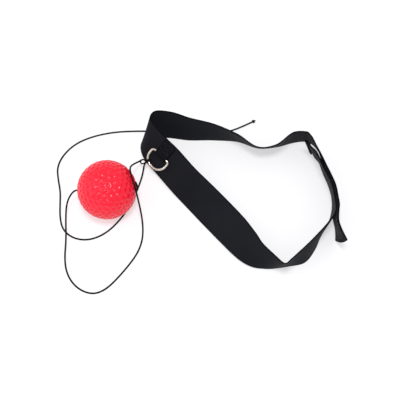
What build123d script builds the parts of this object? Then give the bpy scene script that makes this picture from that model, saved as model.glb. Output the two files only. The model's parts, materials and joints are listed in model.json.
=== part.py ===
"""Reflex ball headband, laid on a table: an elastic headband closed in a loop by
hook-and-loop tape, a D-ring in a sewn tab, and a foam ball on one long elastic cord.

Millimetres. +Z is up and the table is z = 0. The origin is under the middle of the
headband and ball; the cord is free and reaches further out on the ball's side.
"""
from build123d import *
import math
import os

# ---- driving sizes ---------------------------------------------------------------
strap_width = 38.0
strap_thickness = 1.4

tape_thickness = 0.7            # hook tape and loop tape, each
tape_margin = 1.5               # bare strap along each side of the tapes
closure_gap = 0.2               # depth the hooks stand off the loops' backing
hook_tape_length = 80.0
loop_tape_length = 80.0
tape_end_margin = 3.0           # from a tape's end to the strap's end

ball_diameter = 62.0
bore_diameter = 2.3
bore_flare = 1.0
straight_in_bore = 3.0          # the lead's first run starts inside the bore
straight_out_of_bore = 2.5      # and bends down beyond it
cord_diameter = 1.5
knot_diameter = 4.4
end_knot_diameter = 3.8
eye_turn = 2.4                  # open loop at the ring, to the cord's middle
knot_clearance = 0.3            # between a knot and the piece that it bears on
eye_gap = 0.8                   # from the open loop to the middle of a cord's end
stop_knot_sink = 0.6            # how far the stop knot's middle is pulled into the ball
stop_fold_length = 9.0          # the cord is folded double beyond the stop knot
fold_turn = 0.8                 # half the distance between the two strands

ring_inside_width = 20.8
ring_inside_depth = 13.4
ring_wire = 2.5
ring_corner_radius = 3.2        # at the bar, to the wire's middle
ring_bow_radius = 10.6          # at the bow, to the wire's middle
ring_from_lower_edge = 20.3     # the bar, measured across the strap
ring_rest_angle = 9.0           # the bow stands off the strap, on its knot
ring_clearance = 0.12           # between the bar and the tab

tab_width = 15.0
tab_thickness = 0.8
tab_seam_length = 12.0
tab_seam_start = 3.4            # from the bar's middle to the first row of stitches
tab_root = 2.0                  # where the fold runs into the sewn part

section_step = 14.0             # length of one smooth span of a ribbon
surface_gap = 0.05              # between sewn layers, taken up by the thread

# ---- where everything lies -------------------------------------------------------
# The strap is one ribbon, seen from above it runs clockwise. Each station gives the
# lower edge's x, y and height, and how far the upper edge leans over in x and y, as a
# share of the strap's width.
INNER_LAP = [
    (111.1, 57.1, 0.5, -0.25, -0.14),       # inner end, under the closure
    (119.6, 46.8, 0.5, -0.265, -0.11),
    (121.8, 39.5, 0.5, -0.24, -0.08),
    (123.9, 31.2, 0.5, -0.21, -0.08),
    (128.7, 16.6, 0.5, -0.20, -0.06),
    (131.6, 1.1, 0.5, -0.14, -0.01),
    (130.8, -14.4, 0.5, -0.06, 0.01),       # the outer layer parts from it here
]
LOOP = [
    (125.8, -28.7, 0.5, 0.08, -0.06),
    (116.8, -43.4, 0.5, 0.08, -0.04),
    (109.3, -59.1, 0.5, -0.05, 0.02),
    (98.3, -73.2, 0.5, -0.10, 0.04),
    (81.3, -77.2, 0.5, 0.01, -0.17),
    (70.3, -79.1, 0.8, 0.115, -0.25),        # near corner, where the strap folds over
    (59.3, -80.3, 1.5, 0.17, -0.03),
    (43.3, -78.5, 3, 0.27, 0.29),
    (29.3, -70.5, 4, 0.45, 0.45),
    (12.3, -52.5, 3, 0.58, 0.53),           # long front run, leaning well inwards
    (-10.7, -26.5, 2, 0.63, 0.53),
    (-38.7, 5.5, 3, 0.61, 0.47),
    (-57.7, 27.5, 7, 0.61, 0.45),
    (-68.7, 40.5, 9, 0.58, 0.40),
    (-74.7, 54.5, 9, 0.45, 0.32),           # far left corner
    (-73.7, 67.5, 6, 0.27, 0.25),
    (-64.7, 75.5, 2, 0.16, 0.32),
    (-46.7, 75.5, 0.8, 0.11, 0.30),
    (-23.7, 72.5, 0.8, 0.05, 0.16),         # far run
    (4.3, 72.5, 0.8, 0.03, -0.06),
    (30.3, 70.5, 0.8, -0.03, -0.30),
    (54.3, 62.5, 0.8, -0.08, -0.46),
    (74.3, 63.5, 1.2, -0.08, -0.43),
    (91.3, 68.2, 2, -0.06, -0.22),
    (105.3, 69.5, 3, -0.06, -0.24),         # far right corner
    (113.3, 66.2, 3, -0.18, -0.22),
    (119.3, 58.9, 2.5, -0.26, -0.14),
    (122.2, 52.7, 2, -0.28, -0.12),
]
# Where the outer layer passes the inner one: the distance along the inner lap, how far
# apart they are (0 is pressed together) and how much higher the outer layer lies.
OUTER_LAP = [
    (20, 0, 0.9),
    (36, 0, 0.9),
    (50, 0, 0.8),
    (62, 0, 0.6),
    (75, 0.1, 0.4),
    (83, 0.1, 0.2),
]
FREE_TAIL = [
    (132.1, -27.3, 0.5, -0.01, -0.05),
    (133.5, -36, 0.5, -0.07, -0.18),
    (133.1, -48.5, 0.5, 0.10, -0.37),       # cut end, splayed outwards
]
ring_station = 348.8            # distance along the strap from its inner end

ball_x, ball_y = -106.6, -4
stop_fold_slant = 66.0          # the stop knot's folded end lies up over the ball
hitch_angle = 56.0              # where the cord is hitched on the bow, from the bar's line
eye_reach = 5.7                 # from the hitch to the middle of the open loop beside it

# Free cord, from the ball's bore to the ring: down to the table, round in a wide
# loop, then up over the ball's side and down to the ring.
BALL_LEAD = [
    (-145.9, -9.5, 27),
    (-149.7, -15.3, 19.5),
    (-151.2, -22.3, 11.5),
    (-151.6, -31.5, 5),
    (-150.9, -42.5, 2.9),
    (-150.7, -53.5, 1.4),
    (-150.9, -66.5, 0.8),
    (-148.7, -81.9, 0.8),
    (-141.7, -95.5, 0.8),
    (-130.3, -105, 0.8),
    (-117.1, -108, 0.8),
    (-105.2, -102, 0.8),
    (-94.7, -90.5, 0.8),
    (-84.2, -77, 0.8),
    (-75.2, -63, 0.8),
    (-70.7, -49.5, 1.6),
    (-69.7, -38.5, 7.5),
    (-70.4, -30, 18.5),
    (-72.4, -21.5, 29.5),
    (-75.1, -12, 40),
    (-77.9, -3.5, 48),
    (-81.1, 5.5, 50.5),
    (-82.1, 13, 47),
    (-82.3, 19.5, 38.5),
    (-81.1, 26.7, 29),
    (-78.3, 33.1, 21),
]
# The rest of the cord beyond the ring: under the ball's side, out in a second loop
# and back behind the strap to its knotted end.
FREE_END = [
    (-72.2, 27, 6.5),
    (-76.2, 16, 1.2),
    (-81, 2.5, 0.8),
    (-86.7, -11.5, 0.8),
    (-95.7, -25.5, 0.8),
    (-106.7, -38, 0.8),
    (-119.7, -46, 0.8),
    (-132.7, -48.3, 0.8),
    (-145.5, -44.9, 0.8),
    (-155.5, -35.7, 0.8),
    (-159.2, -22, 0.8),
    (-160.2, -6.5, 0.8),
    (-160.9, 8.5, 0.8),
    (-164.5, 23.5, 0.8),
    (-166.7, 38.5, 0.8),
    (-161.2, 53.5, 0.8),
    (-148.7, 67.7, 0.8),
    (-130.1, 77, 0.8),
    (-107.7, 82.4, 0.8),
    (-85.7, 83.8, 0.8),
    (-62.7, 83.8, 0.8),
    (-40.7, 81, 0.8),
    (-17.7, 78.3, 0.8),
    (5.3, 79, 0.8),
    (25.3, 84.5, 0.8),
    (38.3, 90.5, 0.8),
]
CORD_END = (51.1, 97, 1.6)


# ---- the strap's run -------------------------------------------------------------
def edges_at(station):
    """Lower and upper edge of the strap at one hand-laid station."""
    x, y, lift, lean_x, lean_y = station
    rise = math.sqrt(1 - lean_x**2 - lean_y**2)
    lower = Vector(x, y, lift)
    return lower, lower + Vector(lean_x, lean_y, rise) * strap_width


class Run:
    """The strap's smooth course through the edges at its stations."""

    def __init__(self, edges):
        self.edges = edges
        self.lowers = [lower for lower, _ in edges]
        self.uppers = [upper for _, upper in edges]
        self.middles = [(lower + upper) / 2 for lower, upper in edges]
        self.marks = [0.0]
        for here, there in zip(self.middles, self.middles[1:]):
            self.marks.append(self.marks[-1] + (there - here).length)
        self.length = self.marks[-1]

    def slope(self, values, i):
        before, after = max(i - 1, 0), min(i + 1, len(values) - 1)
        return (values[after] - values[before]) / (self.marks[after] - self.marks[before])

    def between(self, values, distance):
        """A station value at any distance along the run, as a smooth cubic."""
        i = 0
        while i < len(self.marks) - 2 and self.marks[i + 1] < distance:
            i += 1
        span = self.marks[i + 1] - self.marks[i]
        t = (distance - self.marks[i]) / span
        start = values[i] * (1 + 2 * t) * (1 - t) ** 2
        end = values[i + 1] * t**2 * (3 - 2 * t)
        leave = self.slope(values, i) * span * t * (1 - t) ** 2
        arrive = self.slope(values, i + 1) * span * t**2 * (t - 1)
        return start + end + leave + arrive

    def directions(self, distance):
        """Unit vectors along the strap, across it (upwards) and out of its outer face."""
        across = self.between(self.uppers, distance) - self.between(self.lowers, distance)
        ahead = self.between(self.middles, distance + 1)
        behind = self.between(self.middles, distance - 1)
        across = across.normalized()
        out = across.cross(ahead - behind).normalized()
        return out.cross(across), across, out

    def point(self, distance, height, off=0.0):
        """Point at a height above the lower edge, off the strap's middle plane."""
        _, across, out = self.directions(distance)
        return self.between(self.lowers, distance) + across * height + out * off


def outer_lap_edges(inner):
    """The outer layer's edges where it lies on the inner one."""
    pressed = strap_thickness + 2 * (tape_thickness + surface_gap) + closure_gap
    edges = []
    for distance, apart, higher in OUTER_LAP:
        raise_by = Vector(0, 0, higher)
        lower = inner.point(distance, 0, pressed + apart) + raise_by
        upper = inner.point(distance, strap_width, pressed + apart) + raise_by
        edges.append((lower, upper))
    return edges


first_edges = [edges_at(station) for station in INNER_LAP + LOOP]
run = Run(first_edges + outer_lap_edges(Run(first_edges)) + [edges_at(s) for s in FREE_TAIL])


def edge_curve(start, end, height, off):
    """Curve that follows the strap at one height and offset."""
    steps = 4
    points = [run.point(start + (end - start) * i / steps, height, off) for i in range(steps + 1)]
    headings = [run.point(d + 0.5, height, off) - run.point(d - 0.5, height, off) for d in (start, end)]
    return Spline(*points, tangents=headings)


def ribbon(start, end, low, high, inside, outside):
    """A layer that follows the strap between two distances, heights and offsets."""
    corners = [(low, inside), (high, inside), (high, outside), (low, outside)]
    count = math.ceil((end - start) / section_step)
    marks = [start + (end - start) * i / count for i in range(count + 1)]
    faces = []
    for here, there in zip(marks, marks[1:]):
        curves = [edge_curve(here, there, height, off) for height, off in corners]
        for one, other in zip(curves, curves[1:] + curves[:1]):
            faces.append(Face.make_surface_from_curves(one, other))
    for mark in (start, end):
        outline = [run.point(mark, height, off) for height, off in corners]
        faces.append(Face(Wire.make_polygon(outline, close=True)))
    return Solid(Shell(faces))


# ---- headband --------------------------------------------------------------------
def strap():
    half = strap_thickness / 2
    return ribbon(0, run.length, 0, strap_width, -half, half)


def loop_tape():
    """Soft tape on the outer face of the inner end."""
    face = strap_thickness / 2 + surface_gap
    start = tape_end_margin
    return ribbon(start, start + loop_tape_length, tape_margin, strap_width - tape_margin,
                  face, face + tape_thickness)


def hook_tape():
    """Hook tape on the inner face of the outer end."""
    face = -strap_thickness / 2 - surface_gap
    end = run.length - tape_end_margin
    return ribbon(end - hook_tape_length, end, tape_margin, strap_width - tape_margin,
                  face - tape_thickness, face)


# ---- D-ring and its tab ----------------------------------------------------------
bar_reach = ring_wire / 2 + ring_clearance          # from the bar's middle to the webbing
bar_height = strap_thickness / 2 + 4 * surface_gap + tab_thickness + bar_reach
ring_along, _, ring_out = run.directions(ring_station)
bar_middle = run.point(ring_station, ring_from_lower_edge, bar_height)
# x along the bar, y down towards the strap's lower edge, z out of the strap
strap_plane = Plane(origin=bar_middle, x_dir=ring_along, z_dir=ring_out)
ring_plane = Plane(strap_plane * Rot(X=ring_rest_angle))
ring_half = (ring_inside_width + ring_wire) / 2     # to the wire's middle
ring_depth = ring_inside_depth + ring_wire


def ring_path():
    corners = [(-ring_half, 0), (ring_half, 0), (ring_half, ring_depth), (-ring_half, ring_depth)]
    radii = [ring_corner_radius, ring_corner_radius, ring_bow_radius, ring_bow_radius]
    return FilletPolyline(*corners, radius=radii, close=True)


def d_ring():
    path = ring_path()
    section = Plane(origin=path @ 0, z_dir=path % 0) * Circle(ring_wire / 2)
    return ring_plane * sweep(section, path=path)


def ring_tab():
    """Folded webbing: round the bar, then both layers sewn flat along the strap."""
    side = Plane(origin=strap_plane.origin, x_dir=strap_plane.y_dir, z_dir=strap_plane.x_dir)
    floor = -bar_reach - tab_thickness
    middle = -tab_seam_start - tab_root / 2
    root = Pos(middle, floor + tab_thickness) * Rectangle(tab_root, 2 * tab_thickness)
    fold = make_hull((Sketch() + [Circle(bar_reach + tab_thickness), root]).edges())
    throat = Pos(-tab_seam_start, floor + tab_thickness) * Circle(surface_gap)
    eye = make_hull((Sketch() + [Circle(bar_reach), throat]).edges())
    face = strap_thickness / 2 + surface_gap
    seam_low = ring_from_lower_edge + tab_seam_start
    sewn = ribbon(ring_station - tab_width / 2, ring_station + tab_width / 2,
                  seam_low, seam_low + tab_seam_length, face, face + 2 * tab_thickness)
    return extrude(side * (fold - eye), amount=tab_width / 2, both=True) + sewn


# ---- ball ------------------------------------------------------------------------
ball_radius = ball_diameter / 2
ball_middle = Vector(ball_x, ball_y, ball_radius)
knot_radius = knot_diameter / 2
stop_knot_middle = ball_middle + Vector(ball_radius - stop_knot_sink, 0, 0)
bore_exit = ball_middle - Vector(ball_radius, 0, 0)
lead_start = bore_exit + Vector(straight_in_bore, 0, 0)
first_bend = bore_exit - Vector(straight_out_of_bore, 0, 0)


def ball():
    """Foam ball turned about its bore, flared at the left, dished at the right for the knot."""
    bore = bore_diameter / 2
    half_disc = Pos(Y=ball_radius / 2) * Rectangle(ball_diameter, ball_radius)
    half_disc &= Circle(ball_radius)
    half_disc -= Rectangle(2 * ball_diameter, bore_diameter)
    mouth = bore_flare - ball_radius
    half_disc -= make_face(Polyline((mouth, bore), (mouth - bore_flare, bore + bore_flare),
                                    (mouth - bore_flare, 0), (mouth, 0), close=True))
    half_disc -= Pos(ball_radius - stop_knot_sink) * Circle(knot_radius + knot_clearance)
    return Pos(*ball_middle) * revolve(half_disc, Axis.X)


# ---- cord ------------------------------------------------------------------------
def cord_tube(name, points):
    """Round cord through hand-laid points: straight runs joined by tangent arcs."""
    points = [Vector(*point) for point in points]
    runs = [there - here for here, there in zip(points, points[1:])]
    radii = []
    for before, after in zip(runs, runs[1:]):
        half_turn = math.radians(before.get_angle(after)) / 2
        radii.append(0.45 * min(before.length, after.length) / math.tan(half_turn))
    path = FilletPolyline(*points, radius=radii) if radii else Line(*points)
    print(name, "is", round(path.length), "long, bend radii", [round(r) for r in radii])
    section = Plane(origin=path @ 0, z_dir=path % 0) * Circle(cord_diameter / 2)
    return sweep(section, path=path)


def stop_knot():
    """Stop knot at the ball's right, the folded end of its cord lying up over the ball."""
    reach = ball_radius + knot_clearance + cord_diameter / 2
    sweep_angle = math.degrees(stop_fold_length / reach)
    section = Plane.XZ * Pos(reach, -fold_turn) * Circle(cord_diameter / 2)
    strand = revolve(section, Axis.Z, sweep_angle)
    strand += revolve(section, Axis((reach, 0, 0), (1, 0, 0)), -180)
    fold = strand + Rot(Z=sweep_angle) * Rot(X=180) * strand
    knot = Pos(*stop_knot_middle) * Sphere(knot_radius)
    return knot + Pos(*ball_middle) * Rot(X=stop_fold_slant) * fold


hitch_turn = ring_wire / 2 + cord_diameter / 2 + surface_gap
bow_outward = Vector(math.cos(math.radians(hitch_angle)), math.sin(math.radians(hitch_angle)))
bow_along = Vector(bow_outward.Y, -bow_outward.X)
hitch_place = Vector(ring_half - ring_bow_radius, ring_depth - ring_bow_radius)
hitch_place += bow_outward * ring_bow_radius
eye_place = hitch_place + bow_outward * eye_reach
eye_edge = eye_turn + cord_diameter / 2 + eye_gap
lead_end = ring_plane.from_local_coords(eye_place + bow_outward * eye_edge)
free_start = ring_plane.from_local_coords(eye_place - bow_along * eye_edge)


def ring_knot():
    """Two turns round the ring's bow, and the small open loop of cord beside them."""
    cord_ring = Torus(eye_turn, cord_diameter / 2)
    turn = Torus(hitch_turn, cord_diameter / 2)
    around = Plane(origin=hitch_place, x_dir=(0, 0, 1), z_dir=bow_along)
    knot = Pos(*eye_place) * cord_ring
    for side in (-0.45, 0.45):
        knot += around * Pos(Z=side * cord_diameter) * turn
    return ring_plane * knot


def tail_knot():
    return Pos(*CORD_END) * Sphere(end_knot_diameter / 2)


def cord_through_ball():
    return cord_tube("cord through the ball", [stop_knot_middle, lead_start])


def cord_ball_lead():
    return cord_tube("ball lead", [lead_start, first_bend] + BALL_LEAD + [lead_end])


def cord_free_end():
    return cord_tube("free end", [free_start] + FREE_END + [CORD_END])


PIECES = {
    "strap": strap,
    "loop_tape": loop_tape,
    "hook_tape": hook_tape,
    "ring_tab": ring_tab,
    "d_ring": d_ring,
    "ball": ball,
    "cord_through_ball": cord_through_ball,
    "cord_ball_lead": cord_ball_lead,
    "cord_free_end": cord_free_end,
    "ball_stop_knot": stop_knot,
    "ring_knot": ring_knot,
    "cord_end_knot": tail_knot,
}

os.makedirs("parts", exist_ok=True)
print("strap is", round(run.length), "long")
for name, make in PIECES.items():
    export_step(make(), f"parts/{name}.step")
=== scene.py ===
"""Reflex ball headband: the visual model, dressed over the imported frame.

The scene is in metres, in the frame of the part: +Z up, the table at z = 0. Sizes and
places are named in millimetres and turned into metres where the meshes are made.
"""
import json
import math
import random

import bmesh
import bpy
from mathutils import Matrix, Vector, kdtree
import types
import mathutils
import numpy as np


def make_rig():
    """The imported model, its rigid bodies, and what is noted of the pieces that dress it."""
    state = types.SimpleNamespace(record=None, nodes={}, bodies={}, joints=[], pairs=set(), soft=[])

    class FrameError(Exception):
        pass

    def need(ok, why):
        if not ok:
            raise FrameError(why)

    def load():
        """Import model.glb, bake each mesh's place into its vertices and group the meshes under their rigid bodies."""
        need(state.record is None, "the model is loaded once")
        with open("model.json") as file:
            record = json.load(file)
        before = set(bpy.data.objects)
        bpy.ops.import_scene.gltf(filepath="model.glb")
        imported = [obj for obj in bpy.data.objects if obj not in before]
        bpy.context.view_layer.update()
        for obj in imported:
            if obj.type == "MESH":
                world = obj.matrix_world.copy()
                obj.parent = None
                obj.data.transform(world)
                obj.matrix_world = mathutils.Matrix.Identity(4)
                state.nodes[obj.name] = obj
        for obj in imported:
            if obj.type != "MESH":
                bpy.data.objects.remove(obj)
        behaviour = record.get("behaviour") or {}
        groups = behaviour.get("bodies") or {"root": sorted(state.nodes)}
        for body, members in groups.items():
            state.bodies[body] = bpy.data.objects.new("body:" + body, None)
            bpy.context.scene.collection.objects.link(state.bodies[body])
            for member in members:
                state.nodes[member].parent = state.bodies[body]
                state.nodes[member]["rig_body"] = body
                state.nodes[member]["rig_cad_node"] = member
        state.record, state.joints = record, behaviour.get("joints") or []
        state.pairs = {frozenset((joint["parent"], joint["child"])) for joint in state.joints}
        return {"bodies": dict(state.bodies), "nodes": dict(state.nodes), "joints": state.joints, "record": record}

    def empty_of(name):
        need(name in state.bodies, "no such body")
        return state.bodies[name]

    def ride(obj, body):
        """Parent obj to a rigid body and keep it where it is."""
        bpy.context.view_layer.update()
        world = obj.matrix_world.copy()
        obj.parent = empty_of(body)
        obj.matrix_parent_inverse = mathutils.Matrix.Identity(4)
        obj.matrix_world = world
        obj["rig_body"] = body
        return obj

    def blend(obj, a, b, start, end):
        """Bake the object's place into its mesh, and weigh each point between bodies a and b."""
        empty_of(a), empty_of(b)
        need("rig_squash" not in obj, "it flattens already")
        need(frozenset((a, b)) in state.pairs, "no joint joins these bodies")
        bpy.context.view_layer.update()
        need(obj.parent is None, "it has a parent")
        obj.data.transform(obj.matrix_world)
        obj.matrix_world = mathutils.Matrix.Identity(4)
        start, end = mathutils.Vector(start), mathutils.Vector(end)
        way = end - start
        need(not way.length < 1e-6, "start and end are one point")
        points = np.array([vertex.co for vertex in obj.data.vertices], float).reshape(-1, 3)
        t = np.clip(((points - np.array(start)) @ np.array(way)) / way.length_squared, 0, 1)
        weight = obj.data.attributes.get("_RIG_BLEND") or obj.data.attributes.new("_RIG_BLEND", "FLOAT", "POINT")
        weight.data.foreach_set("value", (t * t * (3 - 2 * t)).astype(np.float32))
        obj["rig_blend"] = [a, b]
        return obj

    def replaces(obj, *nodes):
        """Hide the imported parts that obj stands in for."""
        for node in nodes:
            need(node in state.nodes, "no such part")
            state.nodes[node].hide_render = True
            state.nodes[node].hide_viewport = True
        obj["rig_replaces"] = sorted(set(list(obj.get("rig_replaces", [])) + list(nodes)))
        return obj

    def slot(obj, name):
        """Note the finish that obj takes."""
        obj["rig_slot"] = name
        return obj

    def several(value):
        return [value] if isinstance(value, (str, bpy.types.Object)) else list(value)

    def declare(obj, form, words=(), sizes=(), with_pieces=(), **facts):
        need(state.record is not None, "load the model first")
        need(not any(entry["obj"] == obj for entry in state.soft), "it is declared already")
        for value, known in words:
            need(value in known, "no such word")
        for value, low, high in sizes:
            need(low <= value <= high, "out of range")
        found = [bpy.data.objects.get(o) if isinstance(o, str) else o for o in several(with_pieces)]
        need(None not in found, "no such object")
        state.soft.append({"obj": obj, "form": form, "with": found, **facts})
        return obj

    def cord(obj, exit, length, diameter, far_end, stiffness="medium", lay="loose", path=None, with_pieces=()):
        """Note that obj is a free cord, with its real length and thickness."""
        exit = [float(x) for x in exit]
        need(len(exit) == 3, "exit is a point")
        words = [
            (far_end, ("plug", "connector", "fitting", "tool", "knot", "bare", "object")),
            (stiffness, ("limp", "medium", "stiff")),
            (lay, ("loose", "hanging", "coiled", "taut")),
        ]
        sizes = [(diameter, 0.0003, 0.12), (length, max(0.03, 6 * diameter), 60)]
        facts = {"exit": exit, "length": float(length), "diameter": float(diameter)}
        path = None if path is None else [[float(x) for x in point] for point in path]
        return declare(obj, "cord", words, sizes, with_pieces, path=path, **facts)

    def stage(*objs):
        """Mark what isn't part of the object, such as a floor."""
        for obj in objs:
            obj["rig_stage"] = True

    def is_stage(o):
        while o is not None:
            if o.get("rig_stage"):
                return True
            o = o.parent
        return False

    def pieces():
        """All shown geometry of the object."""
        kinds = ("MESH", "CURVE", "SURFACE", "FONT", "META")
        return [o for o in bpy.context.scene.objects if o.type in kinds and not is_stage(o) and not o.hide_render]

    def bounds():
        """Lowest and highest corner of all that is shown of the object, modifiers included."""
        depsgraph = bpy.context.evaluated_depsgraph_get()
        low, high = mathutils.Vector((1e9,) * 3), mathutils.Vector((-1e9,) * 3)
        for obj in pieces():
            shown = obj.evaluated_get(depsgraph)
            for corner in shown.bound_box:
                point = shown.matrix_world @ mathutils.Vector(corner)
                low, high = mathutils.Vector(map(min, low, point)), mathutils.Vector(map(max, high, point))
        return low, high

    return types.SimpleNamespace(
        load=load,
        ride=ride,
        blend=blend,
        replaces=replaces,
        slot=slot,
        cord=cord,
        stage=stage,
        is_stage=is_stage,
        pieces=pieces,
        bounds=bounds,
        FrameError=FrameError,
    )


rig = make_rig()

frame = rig.load()
cad_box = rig.bounds()
MM = 0.001
random.seed(11)

# ---- sizes, in millimetres -------------------------------------------------------
strap_width = 38.0
strap_thickness = 1.4
strap_edge_round = 0.3
selvage_width = 1.6
groove_width = 0.7              # the thin line in the cloth beside each corded edge
ripple_height = 0.22            # slight waves along the strap's two edges
ripple_length, swell_length = 7.3, 31.0     # along the strap, for each radian of a wave
swell_start = 1.0               # radians into the longer wave at the strap's inner end
hem_length = 2.8
surface_gap = 0.05

# The strap's inner end lies back against the outer layer, past a small open gap. The
# starts and the end are measured along the strap from its inner end.
lap_close, lap_close_start, lap_close_length = 0.8, 3.0, 5.0
lap_gap, lap_gap_start, lap_gap_end = 1.0, 4.0, 17.0

# The tail's cut end: its lower corner turns in, its upper corner out, and its middle
# stands forward.
tail_flare_length = 16.0
tail_lower_in, tail_upper_out, tail_middle_forward = 0.6, 1.7, 2.6

tape_thickness = 0.7
tape_backing = 0.3              # the rest of a tape's thickness is hooks or loops
tape_margin = 1.5
tape_end_margin = 3.0
closure_gap = 0.2
hook_tape_length = 80.0
loop_tape_length = 80.0
field_margin = 2.0              # from a tape's edges to its outermost hooks or loops
hook_stem = 0.16
pile_loop_radius, pile_thread_radius = 0.34, 0.05

thread_radius = 0.17
thread_above_tape = 0.4 * thread_radius
thread_above_strap = 0.2 * thread_radius
stitch_length = 2.4
stitch_pitch = 3.0
seam_inset = 1.0
hem_seam_back = 1.2             # from the hem's cut edge to its seam
hem_seam_inset = 2.0

ball_diameter = 62.0
bore_diameter = 2.3
bore_flare = 1.0
bore_flare_reach = 1.4 * bore_flare
dimple_reach = 2.85             # from a dimple's middle to its rim
dimple_depth = 1.0
dimple_roundness = 1.4          # the power that rounds a dimple's rim

cord_diameter = 1.5
braid_radius = 0.92             # the braid's strands stand a little proud
straight_in_bore = 3.0
straight_out_of_bore = 2.5
knot_size = 0.5                 # scale of the curve that an overhand knot follows
knot_clearance = 0.15
stop_knot_sink = 1.3
stop_fold_length = 9.0
stop_fold_tip = 1.1
stop_fold_half = 0.51 * cord_diameter       # from the fold's middle to each of its legs
end_knot_back = 2.2             # from the cord's cut end to the knot
cord_step, hitch_step, knot_step = 1.2, 0.5, 0.4        # between a drawn cord's points

# The hitch on the ring. Its open loop is called the eye, and is pulled away from the wire.
eye_turn = 2.4
eye_gap = 0.8
eye_reach = 5.7
eye_middle = 6.45
eye_long, eye_wide = 2.8, 2.2
lead_end_aside = 1.3
turns_aside = 0.95              # where the hitch's turns start, along the wire

ring_inside_width = 20.8
ring_inside_depth = 13.4
ring_wire = 2.5
ring_bow_radius = 10.6
ring_from_lower_edge = 20.3
ring_clearance = 0.12
ring_station = 348.8            # along the strap, from its inner end

tab_width = 15.0
tab_thickness = 0.8
tab_pressed_thickness = 0.94 * tab_thickness
tab_edge_round = 0.2
tab_seam_length = 12.0
tab_seam_start = 3.4
tab_root = 2.0
tab_seam_side, tab_seam_end = 1.3, 1.2

# ---- angles, in degrees ----------------------------------------------------------
ring_rest_angle = 9.0
hitch_angle = 56.0
stop_fold_slant = 66.0
dimples_turned, dimples_tipped = 17.0, 28.0

# ---- where everything lies, in millimetres ---------------------------------------
# Each station of the strap: the lower edge's x, y and height, and how far the upper
# edge leans over in x and y, as a share of the strap's width. The inner end comes first.
INNER_LAP = [
    (111.1, 57.1, 0.5, -0.25, -0.14), (119.6, 46.8, 0.5, -0.265, -0.11),
    (121.8, 39.5, 0.5, -0.24, -0.08), (123.9, 31.2, 0.5, -0.21, -0.08),
    (128.7, 16.6, 0.5, -0.2, -0.06), (131.6, 1.1, 0.5, -0.14, -0.01),
    (130.8, -14.4, 0.5, -0.06, 0.01),
]
LOOP = [
    (125.8, -28.7, 0.5, 0.08, -0.06), (116.8, -43.4, 0.5, 0.08, -0.04),
    (109.3, -59.1, 0.5, -0.05, 0.02), (98.3, -73.2, 0.5, -0.1, 0.04),
    (81.3, -77.2, 0.5, 0.01, -0.17), (70.3, -79.1, 0.8, 0.115, -0.25),
    (59.3, -80.3, 1.5, 0.17, -0.03), (43.3, -78.5, 3, 0.27, 0.29), (29.3, -70.5, 4, 0.45, 0.45),
    (12.3, -52.5, 3, 0.58, 0.53), (-10.7, -26.5, 2, 0.63, 0.53), (-38.7, 5.5, 3, 0.61, 0.47),
    (-57.7, 27.5, 7, 0.61, 0.45), (-68.7, 40.5, 9, 0.58, 0.4), (-74.7, 54.5, 9, 0.45, 0.32),
    (-73.7, 67.5, 6, 0.27, 0.25), (-64.7, 75.5, 2, 0.16, 0.32), (-46.7, 75.5, 0.8, 0.11, 0.3),
    (-23.7, 72.5, 0.8, 0.05, 0.16), (4.3, 72.5, 0.8, 0.03, -0.06), (30.3, 70.5, 0.8, -0.03, -0.3),
    (54.3, 62.5, 0.8, -0.08, -0.46), (74.3, 63.5, 1.2, -0.08, -0.43), (91.3, 68.2, 2, -0.06, -0.22),
    (105.3, 69.5, 3, -0.06, -0.24), (113.3, 66.2, 3, -0.18, -0.22),
    (119.3, 58.9, 2.5, -0.26, -0.14), (122.2, 52.7, 2, -0.28, -0.12),
]
# The outer layer of the closure: the distance along the inner layer, the extra space
# between the two, and how much higher the outer one sits.
OUTER_LAP = [
    (20, 0, 0.9), (36, 0, 0.9), (50, 0, 0.8), (62, 0, 0.6), (75, 0.1, 0.4), (83, 0.1, 0.2),
]
FREE_TAIL = [
    (132.1, -27.3, 0.5, -0.01, -0.05), (133.5, -36, 0.5, -0.07, -0.18),
    (133.1, -48.5, 0.5, 0.1, -0.37),
]
# The middle of the cord, by x, y and height: from the ball to the ring, then from the ring.
BALL_LEAD = [
    (-145.9, -9.5, 27), (-149.7, -15.3, 19.5), (-151.2, -22.3, 11.5), (-151.6, -31.5, 5),
    (-150.9, -42.5, 2.9), (-150.7, -53.5, 1.4), (-150.9, -66.5, 0.8), (-148.7, -81.9, 0.8),
    (-141.7, -95.5, 0.8), (-130.3, -105, 0.8), (-117.1, -108, 0.8), (-105.2, -102, 0.8),
    (-94.7, -90.5, 0.8), (-84.2, -77, 0.8), (-75.2, -63, 0.8), (-70.7, -49.5, 1.6),
    (-69.7, -38.5, 7.5), (-70.4, -30, 18.5), (-72.4, -21.5, 29.5), (-75.1, -12, 40),
    (-77.9, -3.5, 48), (-81.1, 5.5, 50.5), (-82.1, 13, 47), (-82.3, 19.5, 38.5), (-81.1, 26.7, 29),
    (-78.3, 33.1, 21),
]
FREE_END = [
    (-72.2, 27, 6.5), (-76.2, 16, 1.2), (-81, 2.5, 0.8), (-86.7, -11.5, 0.8), (-95.7, -25.5, 0.8),
    (-106.7, -38, 0.8), (-119.7, -46, 0.8), (-132.7, -48.3, 0.8), (-145.5, -44.9, 0.8),
    (-155.5, -35.7, 0.8), (-159.2, -22, 0.8), (-160.2, -6.5, 0.8), (-160.9, 8.5, 0.8),
    (-164.5, 23.5, 0.8), (-166.7, 38.5, 0.8), (-161.2, 53.5, 0.8), (-148.7, 67.7, 0.8),
    (-130.1, 77, 0.8), (-107.7, 82.4, 0.8), (-85.7, 83.8, 0.8), (-62.7, 83.8, 0.8),
    (-40.7, 81, 0.8), (-17.7, 78.3, 0.8), (5.3, 79, 0.8), (25.3, 84.5, 0.8), (38.3, 90.5, 0.8),
]
CORD_END = (51.1, 97, 1.6)

ball_radius = ball_diameter / 2
ball_middle = Vector((-106.6, -4, ball_radius))


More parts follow.
